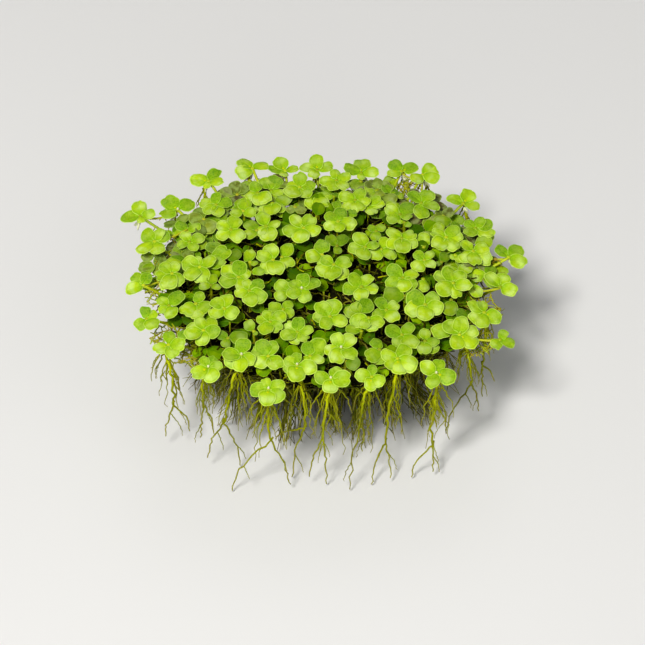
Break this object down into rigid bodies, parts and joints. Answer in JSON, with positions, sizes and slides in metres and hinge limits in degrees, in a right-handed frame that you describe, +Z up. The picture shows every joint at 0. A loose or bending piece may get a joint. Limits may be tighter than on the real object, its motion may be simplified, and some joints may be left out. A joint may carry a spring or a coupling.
{
  "type": "mat of floating duckweed plants",
  "caption": "Low round mat of small floating water plants with rosettes of round green leaves, standing on its own tangle of branched roots.",
  "frame": {"origin": "middle of the flat underside of the root mass, on the surface that it rests on", "axes": "+Z up through the mat of leaves, +X to the right and -Y towards the side with the long hanging roots"},
  "size_m": [0.0813, 0.0721, 0.0298],
  "materials": {
    "leaf": "satin, lime green living leaf",
    "root": "matte, olive fibrous root",
    "old_leaf": "matte, brown old leaf"
  },
  "bodies": {
    "root": {"root_mass": "root", "back_plant_1": "leaf", "back_plant_2": "leaf", "back_plant_3": "leaf", "back_plant_4": "leaf", "back_plant_5": "leaf", "back_plant_6": "leaf", "back_plant_7": "leaf", "back_plant_8": "leaf", "back_plant_9": "leaf", "back_plant_10": "leaf", "right_plant_1": "leaf", "right_plant_2": "leaf", "right_plant_3": "leaf", "right_plant_4": "leaf", "right_plant_5": "leaf", "right_plant_6": "leaf", "right_plant_7": "leaf", "front_plant_1": "leaf", "front_plant_2": "leaf", "front_plant_3": "leaf", "front_plant_4": "leaf", "front_plant_5": "leaf", "front_plant_6": "leaf", "front_plant_7": "leaf", "front_plant_8": "leaf", "left_plant_1": "leaf", "left_plant_2": "leaf", "left_plant_3": "leaf", "left_plant_4": "leaf", "left_plant_5": "leaf", "left_plant_6": "leaf", "left_plant_7": "leaf", "left_plant_8": "leaf", "middle_plant_1": "leaf", "middle_plant_2": "leaf", "middle_plant_3": "leaf", "middle_plant_4": "leaf", "middle_plant_5": "leaf", "middle_plant_6": "leaf", "middle_plant_7": "leaf", "middle_plant_8": "leaf", "middle_plant_9": "leaf", "middle_plant_10": "leaf", "middle_plant_11": "leaf", "middle_plant_12": "leaf", "middle_plant_13": "leaf", "middle_plant_14": "leaf", "middle_plant_15": "leaf", "middle_plant_16": "leaf", "middle_plant_17": "leaf", "middle_plant_18": "leaf", "middle_plant_19": "leaf", "middle_plant_20": "leaf", "middle_plant_21": "leaf", "middle_plant_22": "leaf", "middle_plant_23": "leaf", "middle_plant_24": "leaf", "middle_plant_25": "leaf", "middle_plant_26": "leaf"}
  },
  "joints": []
}
